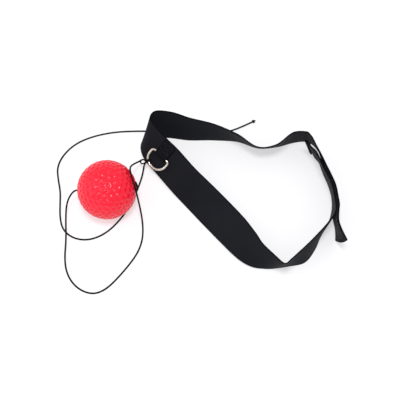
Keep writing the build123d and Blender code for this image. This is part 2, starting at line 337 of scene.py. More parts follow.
# ---- the strap's course ----------------------------------------------------------
def edges_at(station):
    """The lower and upper edge of the strap at one of its stations."""
    x, y, lift, lean_x, lean_y = station
    rise = math.sqrt(1 - lean_x**2 - lean_y**2)
    lower = Vector((x, y, lift))
    return lower, lower + Vector((lean_x, lean_y, rise)) * strap_width


class Course:
    """The strap's smooth course through its stations' lower and upper edges."""

    def __init__(self, edges):
        self.lowers = [lower for lower, _ in edges]
        self.uppers = [upper for _, upper in edges]
        self.middles = [(lower + upper) / 2 for lower, upper in edges]
        self.marks = [0.0]
        for here, there in zip(self.middles, self.middles[1:]):
            self.marks.append(self.marks[-1] + (there - here).length)
        self.length = self.marks[-1]

    def slope(self, values, i):
        """How fast the values change along the strap at a station."""
        before, after = max(i - 1, 0), min(i + 1, len(values) - 1)
        return (values[after] - values[before]) / (self.marks[after] - self.marks[before])

    def between(self, values, distance):
        """The stations' values, smoothly joined, at a distance along the strap."""
        i = 0
        while i < len(self.marks) - 2 and self.marks[i + 1] < distance:
            i += 1
        span = self.marks[i + 1] - self.marks[i]
        t = (distance - self.marks[i]) / span
        start = values[i] * (1 + 2 * t) * (1 - t) ** 2
        end = values[i + 1] * t**2 * (3 - 2 * t)
        leave = self.slope(values, i) * span * t * (1 - t) ** 2
        arrive = self.slope(values, i + 1) * span * t**2 * (t - 1)
        return start + end + leave + arrive

    def directions(self, distance):
        """Along the strap, up across it, and out of its face."""
        across = self.between(self.uppers, distance) - self.between(self.lowers, distance)
        ahead = self.between(self.middles, distance + 1)
        behind = self.between(self.middles, distance - 1)
        across = across.normalized()
        out = across.cross(ahead - behind).normalized()
        return out.cross(across), across, out

    def point(self, distance, height, off=0.0):
        """A spot at a height across the strap, and off its middle plane."""
        _, across, out = self.directions(distance)
        return self.between(self.lowers, distance) + across * height + out * off


def outer_lap_edges(inner):
    """Edges of the closure's outer layer, with room for both tapes over the inner one."""
    pressed = strap_thickness + 2 * (tape_thickness + surface_gap) + closure_gap
    edges = []
    for distance, apart, higher in OUTER_LAP:
        raise_by = Vector((0, 0, higher))
        edges.append((inner.point(distance, 0, pressed + apart) + raise_by,
                      inner.point(distance, strap_width, pressed + apart) + raise_by))
    return edges


first_edges = [edges_at(station) for station in INNER_LAP + LOOP]
tail_edges = [edges_at(station) for station in FREE_TAIL]
course = Course(first_edges + outer_lap_edges(Course(first_edges)) + tail_edges)

# the ring's straight bar, at its station on the strap
bar_reach = ring_wire / 2 + ring_clearance
bar_height = strap_thickness / 2 + 4 * surface_gap + tab_thickness + bar_reach
ring_along, ring_up, ring_out = course.directions(ring_station)
bar_middle = course.point(ring_station, ring_from_lower_edge, bar_height)
ring_half = (ring_inside_width + ring_wire) / 2
ring_depth = ring_inside_depth + ring_wire


def in_strap_plane(x, y, z):
    """A point from the bar's middle: along the bar, down the strap and out of it."""
    return bar_middle + ring_along * x - ring_up * y + ring_out * z


def in_ring_plane(x, y, z):
    """The same directions, turned about the bar to the way the ring lies."""
    turn = math.radians(ring_rest_angle)
    return in_strap_plane(x, y * math.cos(turn) - z * math.sin(turn),
                          y * math.sin(turn) + z * math.cos(turn))


# ---- small helpers ---------------------------------------------------------------
def deselect():
    bpy.ops.object.select_all(action="DESELECT")


def only(piece):
    """Selects one piece alone and makes it the active one."""
    deselect()
    piece.select_set(True)
    bpy.context.view_layer.objects.active = piece


def finish_piece(piece, name, material, body, slot):
    """Names a piece, settles its place into its mesh, and gives it finish and body."""
    only(piece)
    bpy.ops.object.transform_apply(location=True, rotation=True, scale=True)
    piece.name = piece.data.name = name
    piece.data.materials.clear()
    piece.data.materials.append(material)
    if body:
        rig.ride(piece, body)
    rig.slot(piece, slot)
    return piece


def apply(piece, kind, **settings):
    """Adds a modifier of a kind with its settings, and applies it."""
    only(piece)
    modifier = piece.modifiers.new(kind.title(), kind)
    for key, value in settings.items():
        setattr(modifier, key, value)
    bpy.ops.object.modifier_apply(modifier=modifier.name)


def join(pieces):
    """Joins pieces into the first of them."""
    deselect()
    for piece in pieces:
        piece.select_set(True)
    bpy.context.view_layer.objects.active = pieces[0]
    bpy.ops.object.join()
    return pieces[0]


def round_edges(piece, width):
    """Rounds the sharp edges of a piece to a width in millimetres."""
    apply(piece, "BEVEL", width=width * MM, segments=2, limit_method="ANGLE",
          angle_limit=math.radians(50))


def smooth(piece, degrees=45):
    """Shades a piece smooth, with hard edges where it bends more than some degrees."""
    only(piece)
    bpy.ops.object.shade_smooth_by_angle(angle=math.radians(degrees))


def pick_faces(piece, wanted):
    """Selects, in edit mode, the faces whose middle and normal are wanted."""
    bpy.ops.mesh.select_all(action="DESELECT")
    shape = bmesh.from_edit_mesh(piece.data)
    for face in shape.faces:
        face.select_set(wanted(face.calc_center_median(), face.normal))
    bmesh.update_edit_mesh(piece.data)


def spread(low, high, count):
    """Evenly spaced values from low to high, count steps apart."""
    return [low + (high - low) * i / count for i in range(count + 1)]


def eased(share):
    """A soft start and a soft end between 0 and 1."""
    share = min(1.0, max(0.0, share))
    return share * share * (3 - 2 * share)


# ---- cloth laid along a course ---------------------------------------------------
def laid_cloth(columns, heights, place, thickness, fullness=None):
    """A flat grid laid into place: columns run along the cloth, heights across it.

    place(column, height) gives a point in millimetres, fullness(height) the share of
    the thickness there. The UV map holds metres.
    """
    deselect()
    across = len(heights) - 1
    along = len(columns) - 1
    bpy.ops.mesh.primitive_grid_add(x_subdivisions=along, y_subdivisions=across, size=1,
                                    calc_uvs=True)
    cloth = bpy.context.object
    mesh = cloth.data
    lengths = [0.0]
    middle = heights[len(heights) // 2]
    spots = {}
    for i, column in enumerate(columns):
        for j, height in enumerate(heights):
            spots[i, j] = place(column, height)
        if i:
            step = (place(column, middle) - place(columns[i - 1], middle)).length
            lengths.append(lengths[-1] + step)
    keys = []
    for vertex in mesh.vertices:
        i = round((vertex.co.x + 0.5) * along)
        j = round((vertex.co.y + 0.5) * across)
        keys.append((i, j))
        vertex.co = spots[i, j] * MM
    weave = mesh.uv_layers[0].data
    for loop in mesh.loops:
        i, j = keys[loop.vertex_index]
        weave[loop.index].uv = (lengths[i] * MM, heights[j] * MM)
    settings = {}
    if fullness:
        group = cloth.vertex_groups.new(name="Fullness")
        for vertex, (_, j) in zip(mesh.vertices, keys):
            group.add([vertex.index], fullness(heights[j]), "REPLACE")
        settings["vertex_group"] = "Fullness"
    apply(cloth, "SOLIDIFY", thickness=thickness * MM, offset=0.0, use_even_offset=True,
          **settings)
    cloth.vertex_groups.clear()
    return cloth


def across_strap(margin=0.0, count=18):
    """Heights across the strap, closer together towards its two edges."""
    low, high = margin, strap_width - margin
    middle, half = (low + high) / 2, (high - low) / 2
    return [middle - half * math.cos(math.pi * i / count) for i in range(count + 1)]


# ---- shader groups ---------------------------------------------------------------
FLOAT, VECTOR = "NodeSocketFloat", "NodeSocketVector"


def connect(tree, value, socket):
    """Feeds a socket from another socket, a plain colour or a plain value."""
    if isinstance(value, bpy.types.NodeSocket):
        tree.links.new(value, socket)
    elif isinstance(value, tuple) and len(value) == 3:
        socket.default_value = (*value, 1)
    else:
        socket.default_value = value


class Nodes:
    """Adds nodes to a tree and links them in one go."""

    def __init__(self, tree):
        self.tree = tree

    def add(self, kind, inputs=None, **settings):
        """A new node with its settings, and its inputs linked or set."""
        node = self.tree.nodes.new(kind)
        for key, value in settings.items():
            setattr(node, key, value)
        for key, value in (inputs or {}).items():
            connect(self.tree, value, node.inputs[key])
        return node

    def math(self, operation, *values):
        node = self.add("ShaderNodeMath", operation=operation)
        for socket, value in zip(node.inputs, values):
            connect(self.tree, value, socket)
        return node.outputs[0]

    def noise(self, place, scale, detail=2.0):
        node = self.add("ShaderNodeTexNoise", {"Vector": place, "Scale": scale, "Detail": detail})
        return node.outputs["Fac"]

    def wave(self, value):
        """0 to 1 and back for each whole step of a value."""
        sine = self.math("SINE", self.math("MULTIPLY", value, 2 * math.pi))
        return self.math("MULTIPLY_ADD", sine, 0.5, 0.5)

    def ramp(self, value, *stops):
        """A colour for each value, blended between (value, colour) stops."""
        node = self.add("ShaderNodeValToRGB", {"Fac": value})
        elements = node.color_ramp.elements
        while len(elements) < len(stops):
            elements.new(0.5)
        for element, (place, colour) in zip(elements, stops):
            element.position = place
            element.color = (*colour, 1)
        return node.outputs["Color"]

    def mix(self, factor, first, second):
        """A blend of two colours; sockets 6, 7 and output 2 are the node's colour ones."""
        node = self.add("ShaderNodeMix", {"Factor": factor, 6: first, 7: second},
                        data_type="RGBA")
        return node.outputs[2]

    def bump(self, height, distance, strength=1.0):
        """A normal from a height whose full range stands a distance high, in millimetres."""
        return self.add("ShaderNodeBump", {"Height": height, "Distance": distance * MM,
                                           "Strength": strength}).outputs["Normal"]

    def group(self, tree, **inputs):
        """One of the shared groups below, with its own values."""
        node = self.add("ShaderNodeGroup")
        node.node_tree = tree
        for key, value in inputs.items():
            connect(self.tree, value, node.inputs[key.replace("_", " ")])
        return node


def new_group(name, inputs, outputs):
    """A node group, its nodes, and the sockets inside it that it is given and gives."""
    group = bpy.data.node_groups.new(name, "ShaderNodeTree")
    for key, kind, value in inputs:
        socket = group.interface.new_socket(name=key, in_out="INPUT", socket_type=kind)
        if value is not None:
            socket.default_value = value
    for key, kind in outputs:
        group.interface.new_socket(name=key, in_out="OUTPUT", socket_type=kind)
    n = Nodes(group)
    return group, n, n.add("NodeGroupInput").outputs, n.add("NodeGroupOutput").inputs


def make_weave_group():
    """Ribs along the cloth and picks across it, from a UV map in metres, with painted shade in the weave's hollows."""
    group, n, given, result = new_group(
        "Woven cloth",
        [("Weave", VECTOR, None), ("Rib pitch", FLOAT, 0.0011), ("Pick pitch", FLOAT, 0.0006)],
        [("Height", FLOAT), ("Shade", FLOAT)])
    parts = n.add("ShaderNodeSeparateXYZ", {0: given["Weave"]}).outputs
    rib = n.math("DIVIDE", parts["Y"], given["Rib pitch"])
    drift = n.math("MULTIPLY_ADD", n.noise(given["Weave"], scale=420.0), 0.5, -0.25)
    rib = n.math("ADD", rib, drift)
    pick = n.math("DIVIDE", parts["X"], given["Pick pitch"])
    pick = n.math("ADD", pick, n.math("MULTIPLY", n.math("FLOOR", rib), 0.5))
    height = n.math("MULTIPLY_ADD", n.wave(pick), 0.45, n.math("MULTIPLY", n.wave(rib), 0.55))
    fuzz = n.noise(given["Weave"], scale=2600.0, detail=3.0)
    height = n.math("MULTIPLY_ADD", fuzz, 0.35, height)
    n.tree.links.new(height, result["Height"])
    # Shade is lighter on the raised threads and darker in the hollows between them: painted shade, with the random
    # fuzz added.
    n.tree.links.new(n.math("MULTIPLY_ADD", height, 0.5, 0.25), result["Shade"])
    return group


def make_selvage_group():
    """1 on the two finished edges of a cloth of a given width, 0 between them."""
    group, n, given, result = new_group(
        "Selvage",
        [("Weave", VECTOR, None), ("Width", FLOAT, 0.038), ("Reach", FLOAT, 0.0015)],
        [("Mask", FLOAT)])
    height = n.add("ShaderNodeSeparateXYZ", {0: given["Weave"]}).outputs["Y"]
    inside = n.math("MINIMUM", height, n.math("SUBTRACT", given["Width"], height))
    share = n.math("DIVIDE", inside, given["Reach"])
    within = n.math("SMOOTH_MIN", share, 1.0, 0.3)
    n.tree.links.new(n.math("SUBTRACT", 1.0, within), result["Mask"])
    return group


def make_patches_group():
    """Large soft patches, as handling and light dust leave on cloth, metal and foam."""
    group, n, given, result = new_group(
        "Soft patches",
        [("Place", VECTOR, None), ("Scale", FLOAT, 30.0),
         ("Low", FLOAT, 0.0), ("High", FLOAT, 1.0)],
        [("Value", FLOAT)])
    span = n.math("SUBTRACT", given["High"], given["Low"])
    patches = n.noise(given["Place"], given["Scale"], detail=4.0)
    n.tree.links.new(n.math("MULTIPLY_ADD", patches, span, given["Low"]), result["Value"])
    return group


def make_braid_group():
    """Diamond braid round a cord, from a UV map with metres along and turns around."""
    group, n, given, result = new_group(
        "Braid",
        [("Along and round", VECTOR, None), ("Pitch", FLOAT, 0.0016)],
        [("Height", FLOAT)])
    strands_each_way = 4.0
    parts = n.add("ShaderNodeSeparateXYZ", {0: given["Along and round"]}).outputs
    along = n.math("DIVIDE", parts["X"], given["Pitch"])
    round_it = n.math("MULTIPLY", parts["Y"], strands_each_way)
    right = n.wave(n.math("ADD", along, round_it))
    left = n.wave(n.math("SUBTRACT", along, round_it))
    n.tree.links.new(n.math("MAXIMUM", right, left), result["Height"])
    return group


WEAVE, SELVAGE = make_weave_group(), make_selvage_group()
PATCHES, BRAID = make_patches_group(), make_braid_group()


# ---- materials -------------------------------------------------------------------
def new_material(name, **sockets):
    """A node material; the named sockets of its shader get plain values."""
    material = bpy.data.materials.new(name)
    material.use_nodes = True
    shader = material.node_tree.nodes["Principled BSDF"]
    for key, value in sockets.items():
        shader.inputs[key.replace("_", " ")].default_value = value
    return material, Nodes(material.node_tree), shader.inputs


def cloth_material(name, dark, light, rough, ribs, picks, depth, width, sheen):
    """Woven cloth whose threads follow its UV map, darker at its two finished edges."""
    material, n, shader = new_material(name, Sheen_Weight=sheen, Sheen_Roughness=0.4, IOR=1.06)
    link = n.tree.links.new
    weave_map = n.add("ShaderNodeUVMap").outputs["UV"]
    weave = n.group(WEAVE, Weave=weave_map, Rib_pitch=ribs, Pick_pitch=picks).outputs
    edge = n.group(SELVAGE, Weave=weave_map, Width=width * MM,
                   Reach=selvage_width * MM).outputs["Mask"]
    place = n.add("ShaderNodeTexCoord").outputs["Object"]
    patches = n.group(PATCHES, Place=place, Scale=22.0, Low=-0.3, High=0.35).outputs["Value"]
    # The tone is the weave's painted shade in its hollows, plus random patches.
    tone = n.math("ADD", weave["Shade"], patches)
    colour = n.ramp(tone, (0.15, dark), (0.85, light))
    edge_colour = tuple(channel * 0.45 for channel in dark)
    link(n.mix(n.math("MULTIPLY", edge, 0.8), colour, edge_colour), shader["Base Color"])
    uneven = n.group(PATCHES, Place=place, Scale=60.0, Low=rough - 0.1, High=rough + 0.1)
    link(uneven.outputs["Value"], shader["Roughness"])
    link(n.bump(weave["Height"], depth, strength=0.6), shader["Normal"])
    return material


def cord_material():
    """Black elastic cord in a dull diamond braid, with painted shade in the braid's grooves."""
    material, n, shader = new_material("Braided elastic cord", Roughness=0.6,
                                       Specular_IOR_Level=0.08)
    cord_map = n.add("ShaderNodeUVMap").outputs["UV"]
    braid = n.group(BRAID, Along_and_round=cord_map, Pitch=0.0016).outputs["Height"]
    # Darker in the braid's grooves and lighter on the strands' crests: painted shade.
    colour = n.ramp(braid, (0.3, (0.002, 0.002, 0.0025)), (1.0, (0.008, 0.008, 0.009)))
    n.tree.links.new(colour, shader["Base Color"])
    n.tree.links.new(n.bump(braid, distance=0.12), shader["Normal"])
    return material


def ring_material():
    """Nickel-plated wire: a slightly uneven polish and a little warm tarnish."""
    material, n, shader = new_material("Nickel plated wire", Metallic=1.0)
    link = n.tree.links.new
    place = n.add("ShaderNodeTexCoord").outputs["Object"]
    tarnish = n.group(PATCHES, Place=place, Scale=180.0, Low=0.0, High=1.0).outputs["Value"]
    colour = n.ramp(tarnish, (0.3, (0.66, 0.58, 0.47)), (0.7, (0.86, 0.81, 0.72)))
    link(colour, shader["Base Color"])
    wear = n.group(PATCHES, Place=place, Scale=420.0, Low=0.10, High=0.32).outputs["Value"]
    link(wear, shader["Roughness"])
    link(n.bump(n.noise(place, scale=1500.0), distance=0.02), shader["Normal"])
    return material


def foam_material():
    """Moulded foam with a closed skin: even red, slightly cloudy, with a soft gloss."""
    material, n, shader = new_material("Moulded foam skin", Specular_IOR_Level=0.36,
                                       Subsurface_Weight=0.05,
                                       Subsurface_Radius=(0.003, 0.0008, 0.0008))
    link = n.tree.links.new
    place = n.add("ShaderNodeTexCoord").outputs["Object"]
    clouds = n.group(PATCHES, Place=place, Scale=40.0, Low=0.0, High=1.0).outputs["Value"]
    colour = n.ramp(clouds, (0.3, (0.88, 0.007, 0.027)), (0.7, (0.93, 0.012, 0.042)))
    link(colour, shader["Base Color"])
    pores = n.noise(place, scale=2200.0, detail=3.0)
    link(n.bump(pores, distance=0.03), shader["Normal"])
    gloss = n.group(PATCHES, Place=place, Scale=150.0, Low=0.12, High=0.22).outputs["Value"]
    link(gloss, shader["Roughness"])
    return material


def thread_material(name, dark, light, rough, scale):
    """Sewing thread, moulded hooks or brushed loops: a fine uneven tone."""
    material, n, shader = new_material(name)
    link = n.tree.links.new
    place = n.add("ShaderNodeTexCoord").outputs["Object"]
    link(n.ramp(n.noise(place, scale), (0.3, dark), (0.7, light)), shader["Base Color"])
    gloss = n.group(PATCHES, Place=place, Scale=300.0, Low=rough - 0.1, High=rough + 0.1)
    link(gloss.outputs["Value"], shader["Roughness"])
    return material


elastic_cloth = cloth_material(
    "Woven elastic", dark=(0.0060, 0.0064, 0.0084), light=(0.0160, 0.0170, 0.0208), rough=0.5,
    ribs=0.0012, picks=0.0007, depth=0.12, width=strap_width, sheen=0.012)
tab_cloth = cloth_material(
    "Tab webbing", dark=(0.0038, 0.0040, 0.0055), light=(0.0100, 0.0105, 0.0130), rough=0.5,
    ribs=0.0010, picks=0.0009, depth=0.16, width=tab_width, sheen=0.006)
tape_cloth = cloth_material(
    "Tape backing", dark=(0.004, 0.004, 0.005), light=(0.012, 0.012, 0.014), rough=0.6,
    ribs=0.0007, picks=0.0005, depth=0.06, width=strap_width, sheen=0.05)
braided_cord, nickel, foam = cord_material(), ring_material(), foam_material()
thread = thread_material(
    "Sewing thread", dark=(0.002, 0.002, 0.0024), light=(0.006, 0.006, 0.007), rough=0.6,
    scale=3000.0)
hook_nylon = thread_material(
    "Moulded hooks", dark=(0.030, 0.031, 0.028), light=(0.060, 0.062, 0.056), rough=0.4,
    scale=900.0)
loop_pile = thread_material(
    "Brushed loops", dark=(0.008, 0.008, 0.009), light=(0.022, 0.022, 0.025), rough=0.8,
    scale=1400.0)


# ---- small shapes that repeat: stitches, hooks, loops ----------------------------
def stitch_shape():
    """One stitch along x: a short thread whose two ends dive into the cloth."""
    deselect()
    length = stitch_length * MM
    bend, tip = 0.32 * length, 0.49 * length
    bpy.ops.mesh.primitive_cylinder_add(vertices=6, radius=thread_radius * MM, depth=length,
                                        rotation=(0, math.pi / 2, 0))
    stitch = bpy.context.object
    bpy.ops.object.transform_apply(rotation=True)
    bpy.ops.object.mode_set(mode="EDIT")
    for side in (-1, 1):
        bpy.ops.mesh.select_all(action="SELECT")
        bpy.ops.mesh.bisect(plane_co=(side * bend, 0, 0), plane_no=(1, 0, 0))
    pick_faces(stitch, lambda middle, normal: abs(middle.x) > tip)
    bpy.ops.transform.resize(value=(1, 0.6, 0.6))
    bpy.ops.transform.translate(value=(0, 0, -1.2 * thread_radius * MM))
    bpy.ops.object.mode_set(mode="OBJECT")
    smooth(stitch, 60)
    return stitch


# how a hook's top is drawn on: sideways and upwards, in stems, and how far it narrows
HOOK_BEND = ((0.2, 1.3, 0.9), (1.1, 0.9, 0.8), (1.2, -0.3, 0.8), (0.5, -0.9, 0.6))


def hook_shape():
    """One moulded hook: a stem that bends over and points back down."""
    deselect()
    stem = hook_stem * MM
    bpy.ops.mesh.primitive_cube_add(size=stem, location=(0, 0, stem / 2))
    hook = bpy.context.object
    bpy.ops.object.transform_apply(location=True)
    bpy.ops.object.mode_set(mode="EDIT")
    pick_faces(hook, lambda middle, normal: normal.z > 0.9)
    for slide, rise, size in HOOK_BEND:
        bpy.ops.mesh.extrude_region_move(
            TRANSFORM_OT_translate={"value": (slide * stem, 0, rise * stem)})
        bpy.ops.transform.resize(value=(size, size, size))
    bpy.ops.object.mode_set(mode="OBJECT")
    return hook


def loop_shape():
    """One loop of pile, standing half out of the tape."""
    deselect()
    bpy.ops.mesh.primitive_torus_add(
        major_segments=8, minor_segments=3, major_radius=pile_loop_radius * MM,
        minor_radius=pile_thread_radius * MM, rotation=(math.pi / 2, 0, 0))
    loop = bpy.context.object
    bpy.ops.object.transform_apply(rotation=True)
    return loop


def placed(spot, ahead, out, turn=0.0):
    """Where a small shape goes: its x along ahead, its z along out."""
    ahead = (ahead - out * ahead.dot(out)).normalized()
    axes = Matrix((ahead, out.cross(ahead), out)).transposed().to_4x4()
    return Matrix.Translation(spot * MM) @ axes @ Matrix.Rotation(turn, 4, "Z")


def repeat(shape, places, name, material, slot):
    """One copy of a small shape at each place, joined into one piece."""
    copies = []
    for place in places:
        copy = bpy.data.objects.new(name, shape.data.copy())
        copy.data.transform(place)
        bpy.context.collection.objects.link(copy)
        copies.append(copy)
    bpy.data.objects.remove(shape)
    return finish_piece(join(copies), name, material, "headband", slot)


def seam(start, end, off, side):
    """Places of a row of stitches between two (distance, height) spots on the strap."""
    first, last = course.point(*start), course.point(*end)
    count = max(1, round((last - first).length / stitch_pitch))

    def at(share):
        return tuple(near + (far - near) * share for near, far in zip(start, end))

    half_stitch = 0.4 / count
    places = []
    for i in range(count):
        share = (i + 0.5) / count
        distance, height = at(share)
        before = laid(*at(share - half_stitch), off)
        after = laid(*at(share + half_stitch), off)
        out = course.directions(distance)[2] * side
        places.append(placed(laid(distance, height, off), after - before, out))
    return places


def seam_box(near, far, low, high, off, side, crossed=False):
    """A box of stitches, with an X through it where the load is."""
    corners = [(near, low), (far, low), (far, high), (near, high)]
    places = []
    for start, end in zip(corners, corners[1:] + corners[:1]):
        places += seam(start, end, off, side)
    if crossed:
        places += seam(corners[0], corners[2], off, side)
        places += seam(corners[1], corners[3], off, side)
    return places


# ---- strap -----------------------------------------------------------------------
def strap_columns():
    """(distance, depth off the middle plane) along the strap, a hem folded at its inner end."""
    turn = (strap_thickness + surface_gap) / 2
    angles = [math.pi * i / 6 for i in range(1, 6)]
    hem = [(distance, -2 * turn) for distance in spread(hem_length, turn, 5)]
    fold = [(turn - turn * math.sin(a), -turn - turn * math.cos(a)) for a in angles]
    return hem + fold + [(distance, 0.0) for distance in spread(turn, course.length, 400)]


def selvage_fullness(height):
    """The strap is full at its corded edges and thinner in the groove beside them."""
    full, in_groove, at_rim = 0.97, 0.75, 0.7
    inside = min(height, strap_width - height)
    groove = math.exp(-((inside - selvage_width) / groove_width) ** 2)
    return full - (full - in_groove) * groove if inside > 0.01 else at_rim


def laid(distance, height, off):
    """A point of the closed strap.

    The inner end stands a little off the outer layer, with its very end back against it.
    The cut end outside flares, and its middle stands forward.
    """
    share = height / strap_width
    off += lap_close * (1 - eased((distance - lap_close_start) / lap_close_length))
    if lap_gap_start < distance < lap_gap_end:
        along_gap = (distance - lap_gap_start) / (lap_gap_end - lap_gap_start)
        off -= lap_gap * math.sin(math.pi * along_gap)
    flare = max(0.0, 1 - (course.length - distance) / tail_flare_length) ** 1.5
    aside = -tail_lower_in + (tail_lower_in + tail_upper_out) * share
    forward = tail_middle_forward * (1 - (2 * share - 1) ** 2)
    return course.point(distance, height, off) + Vector((aside, -forward, 0.0)) * flare


def make_strap():
    """The strap, hemmed at its inner end, with corded edges that wave a little."""
    def place(column, height):
        distance, off = column
        edge = abs(height / strap_width - 0.5) * 2
        ripple = math.sin(distance / ripple_length)
        swell = math.sin(distance / swell_length + swell_start)
        return laid(distance, height, off + ripple_height * edge**4 * ripple * swell)

    heights = sorted(across_strap(count=16) + [selvage_width, strap_width - selvage_width])
    strap = laid_cloth(strap_columns(), heights, place, strap_thickness, selvage_fullness)
    round_edges(strap, strap_edge_round)
    smooth(strap)
    finish_piece(strap, "headband_strap", elastic_cloth, "headband", "strap_webbing")
    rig.replaces(strap, "strap")


loop_span = (tape_end_margin, tape_end_margin + loop_tape_length)
hook_span = (course.length - tape_end_margin - hook_tape_length, course.length - tape_end_margin)
strap_face = strap_thickness / 2
backing_top = strap_face + surface_gap + tape_backing
hem_face = 3 * strap_face + surface_gap     # the hem's folded layer lies under the strap


def make_tape(name, span, side, slot, node):
    """Woven backing of a hook or loop tape, sewn to one face of the strap."""
    face = side * (strap_face + surface_gap + tape_backing / 2)

    def place(distance, height):
        return laid(distance, height, face)

    tape = laid_cloth(spread(*span, 60), across_strap(tape_margin, 14), place, tape_backing)
    smooth(tape)
    finish_piece(tape, name, tape_cloth, "headband", slot)
    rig.replaces(tape, node)


def field(span, side, pitch, across_pitch, jitter):
    """Places spread over a tape inside its seams, each turned at random by up to jitter.

    For each radian of jitter a place also strays by up to a tenth of its pitch.
    """
    low, high = tape_margin + field_margin, strap_width - tape_margin - field_margin
    near, far = span[0] + field_margin, span[1] - field_margin
    rows = round((high - low) / across_pitch)
    columns = round((far - near) / pitch)
    places = []
    for i, column in enumerate(spread(near, far, columns)):
        for j, row in enumerate(spread(low, high, rows)):
            distance = column + random.uniform(-jitter, jitter) * pitch * 0.1
            height = row + random.uniform(-jitter, jitter) * across_pitch * 0.1
            along, _, out = course.directions(distance)
            turn = random.uniform(-jitter, jitter) + (math.pi if (i + j) % 2 else 0)
            spot = laid(distance, height, side * backing_top)
            places.append(placed(spot, along, out * side, turn))
    return places


def make_tape_seams():
    """Stitches round both tapes, seen on both faces of the strap, and across the hem."""
    low = tape_margin + seam_inset
    high = strap_width - low
    on_tape = backing_top + thread_above_tape
    on_strap = strap_face + thread_above_strap
    places = []
    for span, side in ((loop_span, 1), (hook_span, -1)):
        near, far = span[0] + seam_inset, span[1] - seam_inset
        places += seam_box(near, far, low, high, side * on_tape, side)
        places += seam_box(near, far, low, high, -side * on_strap, -side)
    hem = hem_length - hem_seam_back
    places += seam((hem, hem_seam_inset), (hem, strap_width - hem_seam_inset),
                   -hem_face - thread_above_strap, -1)
    return places


# ---- ring and tab ----------------------------------------------------------------
# heights of the tab's two sewn layers, from the bar's middle
tab_low = strap_face + surface_gap + tab_thickness / 2 - bar_height
tab_top = tab_low + tab_thickness


def on_tab(across, y, z):
    """Round the bar in the strap's plane at the ring, then along the strap where it is sewn."""
    flat = in_strap_plane(across, y, z)
    sewn = course.point(ring_station + across, ring_from_lower_edge - y, bar_height + z)
    return flat.lerp(sewn, eased((-y - tab_root / 2) / tab_seam_start))


def make_ring_tab():
    """A short webbing folded round the ring's bar, with both its ends sewn down."""
    wrap = bar_reach + tab_thickness / 2
    seam_end = -tab_seam_start - tab_seam_length
    lean = math.atan2(wrap - tab_top, tab_seam_start) * 0.75
    path = [(y, tab_low) for y in spread(seam_end, -tab_seam_start, 12)]
    path += [(-tab_seam_start * share, tab_low + (-wrap - tab_low) * eased(1 - share))
             for share in (0.7, 0.35)]
    path += [(wrap * math.cos(a), wrap * math.sin(a))
             for a in spread(-math.pi / 2, math.pi / 2 + lean, 14)]
    path += [(y, tab_top) for y in spread(-tab_seam_start, seam_end, 12)]

    def place(spot, across):
        return on_tab(across - tab_width / 2, *spot)

    tab = laid_cloth(path, spread(0, tab_width, 12), place, tab_pressed_thickness)
    round_edges(tab, tab_edge_round)
    smooth(tab)
    finish_piece(tab, "ring_tab_webbing", tab_cloth, "headband", "tab_webbing")
    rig.replaces(tab, "ring_tab")


def make_tab_seams():
    """A crossed box of stitches over the tab, and the same on the strap's inner face."""
    side = tab_width / 2 - tab_seam_side
    low = ring_from_lower_edge + tab_seam_start + seam_inset
    high = ring_from_lower_edge + tab_seam_start + tab_seam_length - tab_seam_end
    box = (ring_station - side, ring_station + side, low, high)
    on_tab_face = strap_face + surface_gap + 2 * tab_thickness
    on_strap = strap_face + thread_above_strap
    return (seam_box(*box, on_tab_face, 1, crossed=True)
            + seam_box(*box, -on_strap, -1, crossed=True))


def finish_ring():
    """The ring keeps the shape of its solid and gets its finish."""
    ring = frame["nodes"]["d_ring"]
    ring.data.materials.clear()
    ring.data.materials.append(nickel)
    smooth(ring, 40)


make_strap()
make_tape("closure_loop_tape", loop_span, 1, "loop_tape", "loop_tape")
make_tape("closure_hook_tape", hook_span, -1, "hook_tape", "hook_tape")
make_ring_tab()
repeat(loop_shape(), field(loop_span, 1, pitch=1.5, across_pitch=1.2, jitter=1.5),
       "closure_loop_pile", loop_pile, "loop_tape")
repeat(hook_shape(), field(hook_span, -1, pitch=1.7, across_pitch=1.5, jitter=0.1),
       "closure_hooks", hook_nylon, "hook_tape")
repeat(stitch_shape(), make_tape_seams(), "closure_stitches", thread, "strap_webbing")
repeat(stitch_shape(), make_tab_seams(), "tab_stitches", thread, "tab_webbing")
finish_ring()


# ---- ball ------------------------------------------------------------------------
def subdivide(piece, cuts):
    """Divides every edge of a piece by a number of cuts."""
    only(piece)
    bpy.ops.object.mode_set(mode="EDIT")
    bpy.ops.mesh.select_all(action="SELECT")
    bpy.ops.mesh.subdivide(number_cuts=cuts)
    bpy.ops.object.mode_set(mode="OBJECT")


